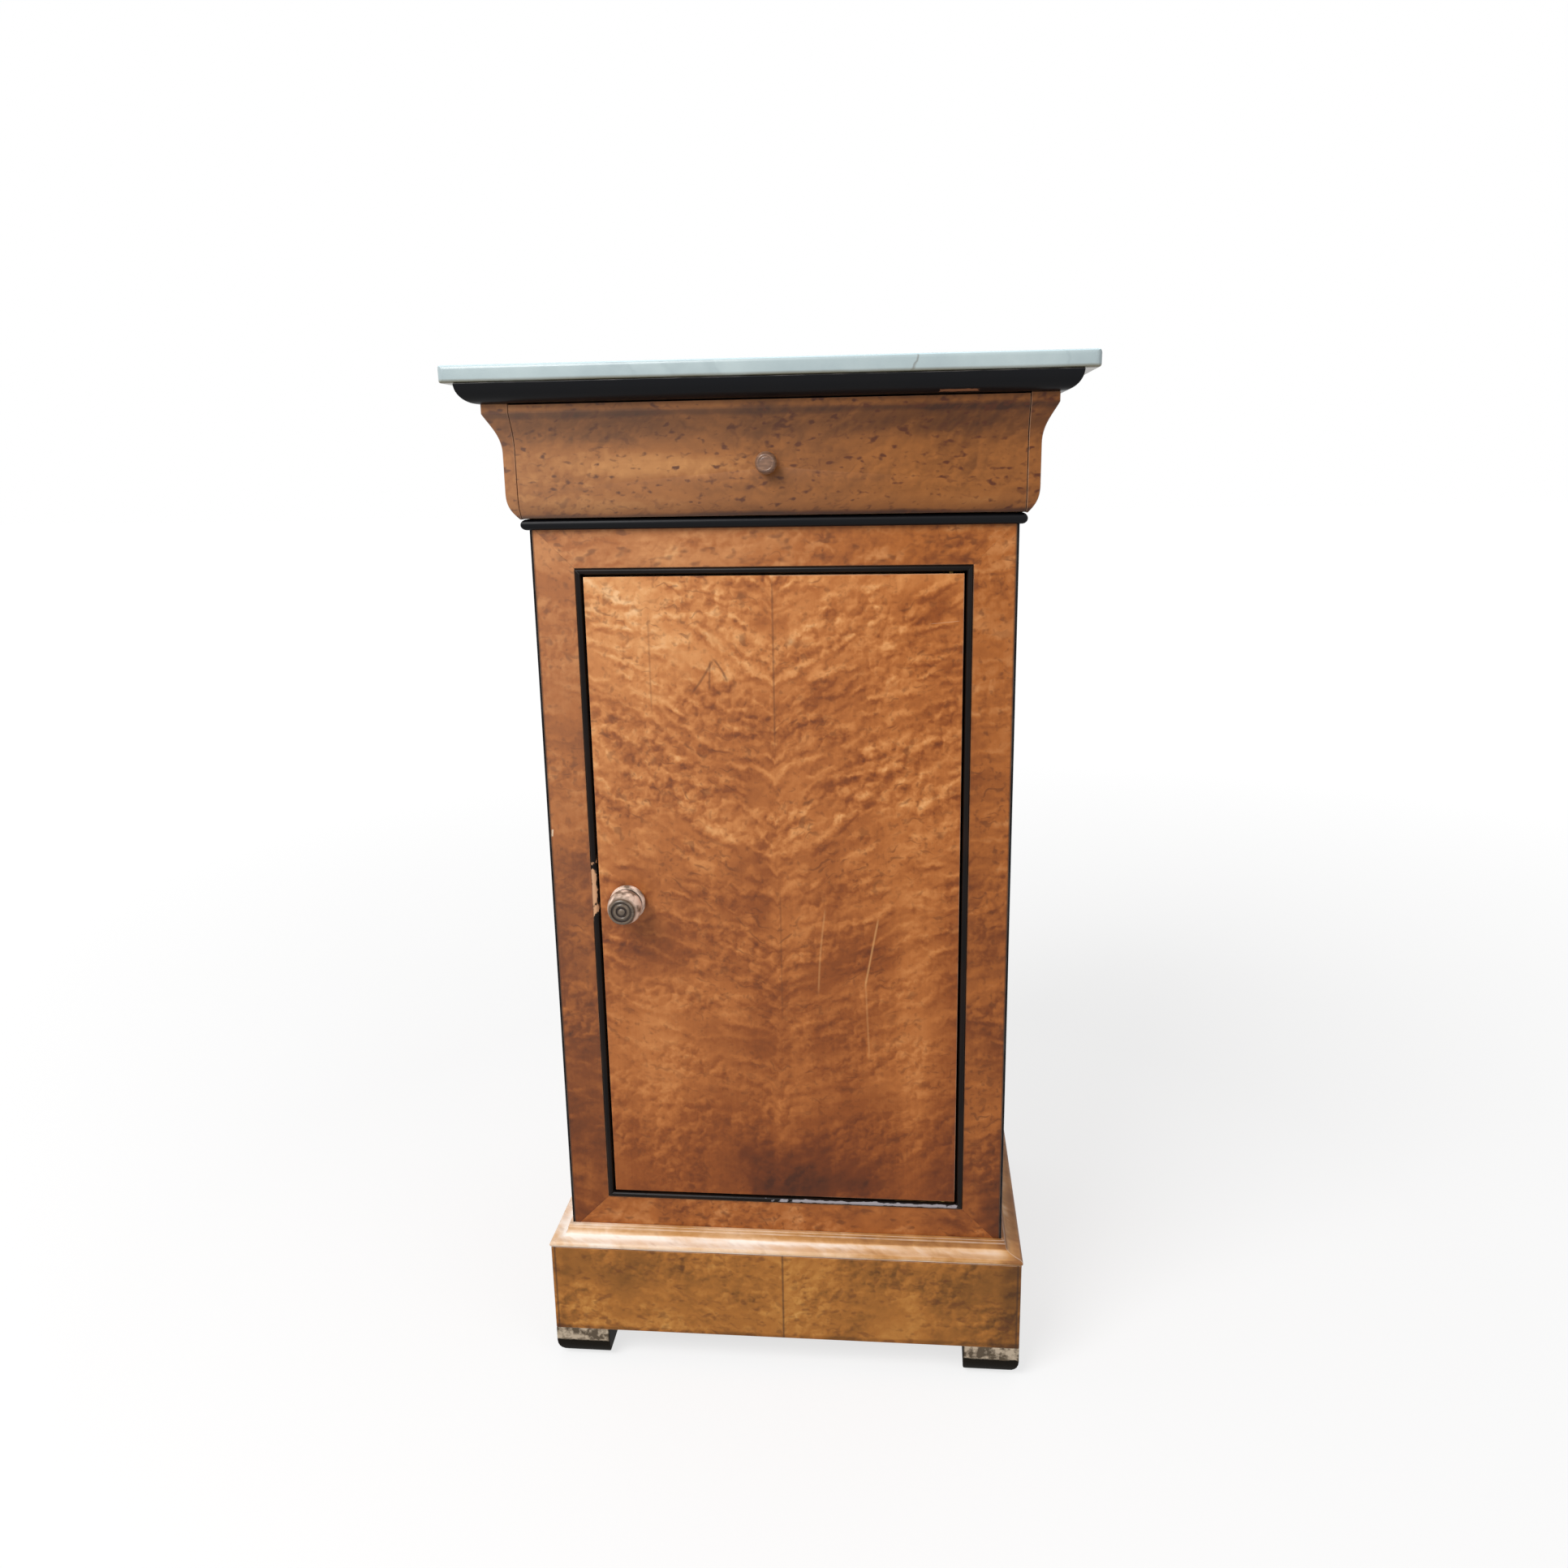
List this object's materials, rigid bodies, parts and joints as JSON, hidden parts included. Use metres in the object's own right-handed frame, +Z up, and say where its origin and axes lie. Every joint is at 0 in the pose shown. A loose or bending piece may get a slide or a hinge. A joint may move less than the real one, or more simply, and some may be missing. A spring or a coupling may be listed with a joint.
{
  "type": "bedside pot cupboard",
  "caption": "Bedside cupboard in figured veneer with ebonised trim, a hinged door with a turning knob, a moulded frieze drawer, a loose marble top, and a plinth on block feet.",
  "frame": {"origin": "on the floor under the middle of the marble top, between the four feet", "axes": "+X to the cupboard's right as seen from the front, -Y out of the front, +Z up"},
  "size_m": [0.432, 0.356, 0.769],
  "materials": {
    "marble": "honed pale blue-grey marble with faint veins",
    "ebonised_wood": "black-stained wood, polished",
    "worn_ebonised_wood": "black-stained wood with a worn grey-tan upper band",
    "maple_door": "book-matched bird's-eye veneer, wax-polished",
    "maple_frame": "straight-laid figured veneer, mitred, wax-polished",
    "maple_side": "figured veneer with upright grain, wax-polished",
    "maple_frieze": "figured veneer laid over the moulding, wax-polished",
    "maple_plinth": "figured veneer, wax-polished",
    "maple_cap": "worn pale moulding, satin",
    "turned_wood": "turned dark wood, polished",
    "inner_pine": "bare planed pine, darkened",
    "inner_oak": "bare planed oak, darkened",
    "brass": "aged brass",
    "iron": "dark forged iron"
  },
  "bodies": {
    "carcase": {"marble_top": "marble", "cornice_front": "ebonised_wood", "cornice_left": "ebonised_wood", "cornice_right": "ebonised_wood", "top_rail_front": "inner_pine", "top_rail_back": "inner_pine", "kickers": "inner_pine", "side_panel_left": "inner_pine", "side_panel_right": "inner_pine", "side_veneer_left": "maple_side", "side_veneer_right": "maple_side", "frieze_left": "maple_frieze", "frieze_right": "maple_frieze", "bead": "ebonised_wood", "frame_stile_left": "inner_pine", "frame_stile_right": "inner_pine", "frame_rail_top": "inner_pine", "frame_rail_bottom": "inner_pine", "facing_left": "maple_frame", "facing_right": "maple_frame", "facing_top": "maple_frame", "facing_bottom": "maple_frame", "corner_lines": "ebonised_wood", "door_lining": "ebonised_wood", "back_boards": "inner_oak", "bottom_board": "inner_pine", "shelf": "inner_pine", "shelf_battens": "inner_oak", "drawer_rail_front": "inner_oak", "drawer_rail_back": "inner_oak", "drawer_runners": "inner_oak", "door_stops": "inner_oak", "latch_strike": "brass", "frame_pivots": "brass", "plinth_front": "maple_plinth", "plinth_left": "maple_plinth", "plinth_right": "maple_plinth", "plinth_back": "inner_pine", "plinth_cap": "maple_cap", "plinth_blocks": "inner_pine", "foot_front_left": "worn_ebonised_wood", "foot_front_right": "worn_ebonised_wood", "foot_back_left": "worn_ebonised_wood", "foot_back_right": "worn_ebonised_wood"},
    "door": {"door_boards": "inner_pine", "door_clamps": "inner_pine", "door_veneer_left": "maple_door", "door_veneer_right": "maple_door", "door_pivots": "brass"},
    "latch": {"door_knob": "turned_wood", "latch_spindle": "iron", "latch_tongue": "iron"},
    "drawer": {"drawer_facade": "maple_frieze", "drawer_front": "inner_pine", "drawer_side_left": "inner_oak", "drawer_side_right": "inner_oak", "drawer_back": "inner_oak", "drawer_bottom": "inner_oak", "drawer_knob": "turned_wood"}
  },
  "joints": [
    {"name": "door_hinge", "type": "hinge", "parent": "carcase", "child": "door", "pos_m": [0.1245, -0.1375, 0.387], "axis": [0, 0, 1], "range_deg": [0, 105]},
    {"name": "latch_turn", "type": "hinge", "parent": "door", "child": "latch", "pos_m": [-0.112, -0.142, 0.3865], "axis": [0, -1, 0], "range_deg": [0, 90]},
    {"name": "drawer_slide", "type": "slide", "parent": "carcase", "child": "drawer", "axis": [0, -1, 0], "range_m": [0, 0.2]}
  ]
}
